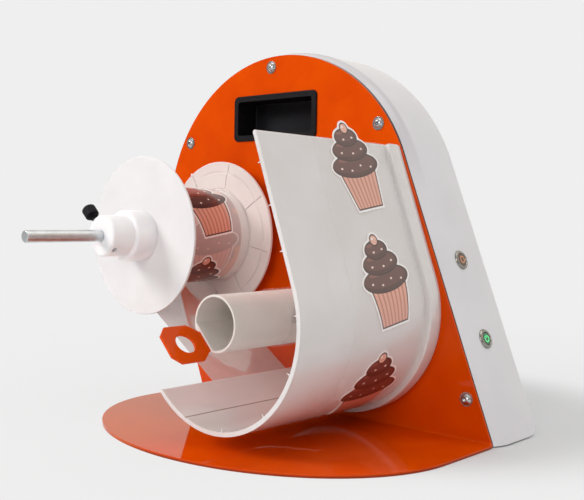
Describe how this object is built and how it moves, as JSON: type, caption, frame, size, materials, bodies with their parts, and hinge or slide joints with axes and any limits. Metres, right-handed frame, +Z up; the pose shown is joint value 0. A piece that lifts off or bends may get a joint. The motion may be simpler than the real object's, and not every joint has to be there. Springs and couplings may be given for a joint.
{
  "type": "label dispenser",
  "caption": "Table-top label dispenser: leaning arch panel on a bent base, label roll on a disc spindle, J-shaped peel guide and motor take-up tube.",
  "frame": {"origin": "underside of the base plate, in the middle of the panel's foot, 6 mm in front of the panel's front face", "axes": "+Z up, -Y to the front along the spindle, +X to the right seen from the front"},
  "size_m": [0.4667, 0.3605, 0.3895],
  "materials": {
    "orange_powder_coat": "gloss powder coat",
    "white_gloss_cover": "smooth gloss",
    "white_satin_plastic": "satin",
    "milky_plastic": "satin, slightly translucent",
    "black_plastic": "fine moulded grain",
    "plated_steel": "bright plated",
    "stainless_steel": "turned",
    "satin_rod": "satin drawn",
    "bronze": "sintered",
    "clear_film": "clear film",
    "label_roll_film": "wound clear film",
    "printed_label": "printed film",
    "cardboard": "wound card",
    "circuit_board": "solder resist"
  },
  "bodies": {
    "root": {"front_panel": "orange_powder_coat", "rear_housing": "white_gloss_cover", "panel_screws": "plated_steel", "handle_cup": "black_plastic", "web_guide": "white_satin_plastic", "guide_screws": "plated_steel", "web_lead": "clear_film", "web_wrap": "clear_film", "liner_strand": "clear_film", "web_labels": "printed_label", "spindle_block": "black_plastic", "spindle_bearings": "plated_steel", "block_screws": "plated_steel", "takeup_bushing": "bronze", "motor_plate": "plated_steel", "motor_standoffs": "plated_steel", "motor_screws": "plated_steel", "gearmotor": "plated_steel", "control_board": "circuit_board", "board_standoffs": "black_plastic", "board_parts": "black_plastic", "power_inlet": "black_plastic", "button_nuts": "plated_steel", "feed_button_body": "stainless_steel", "power_button_body": "stainless_steel"},
    "supply": {"spindle_rod": "satin_rod", "back_disc": "white_satin_plastic", "core_hub": "white_satin_plastic", "roll_core": "cardboard", "label_roll": "label_roll_film", "rod_collar": "plated_steel", "drag_springs": "plated_steel"},
    "flange": {"front_disc": "white_satin_plastic", "front_hub": "milky_plastic", "hub_grub_screw": "plated_steel"},
    "thumb": {"thumb_screw": "black_plastic"},
    "takeup": {"takeup_tube": "white_satin_plastic", "takeup_hub": "white_satin_plastic", "takeup_shaft": "plated_steel", "shaft_coupler": "plated_steel", "motor_shaft": "plated_steel", "liner_wrap": "clear_film"},
    "key": {"liner_key": "orange_powder_coat"},
    "feed_button": {"feed_button_cap": "stainless_steel"},
    "power_button": {"power_button_cap": "stainless_steel"}
  },
  "joints": [
    {"name": "supply_spin", "type": "hinge", "parent": "root", "child": "supply", "pos_m": [-0.1511, -0.05, 0.1854], "axis": [0, -1, 0], "continuous": true},
    {"name": "flange_slide", "type": "slide", "parent": "supply", "child": "flange", "axis": [0, -1, 0], "range_m": [0, 0.135]},
    {"name": "thumb_screw_turn", "type": "hinge", "parent": "flange", "child": "thumb", "pos_m": [-0.17339, -0.1723, 0.20547], "axis": [-0.7431, 0, 0.6691], "range_deg": [0, 360]},
    {"name": "takeup_spin", "type": "hinge", "parent": "root", "child": "takeup", "pos_m": [0.0345, -0.05, 0.115], "axis": [0, 1, 0], "continuous": true},
    {"name": "key_slide", "type": "slide", "parent": "takeup", "child": "key", "axis": [0, -1, 0], "range_m": [0, 0.175]},
    {"name": "feed_button_press", "type": "slide", "parent": "root", "child": "feed_button", "axis": [-0.9304, 0, -0.3665], "range_m": [0, 0.0025], "stiffness_N_per_m": 300, "springref_m": -0.002},
    {"name": "power_button_press", "type": "slide", "parent": "root", "child": "power_button", "axis": [-0.9304, 0, -0.3665], "range_m": [0, 0.0025], "stiffness_N_per_m": 300, "springref_m": -0.002}
  ],
  "couplings": [
    {"joint": "takeup_spin", "follows": "supply_spin", "ratio": 1.911}
  ]
}
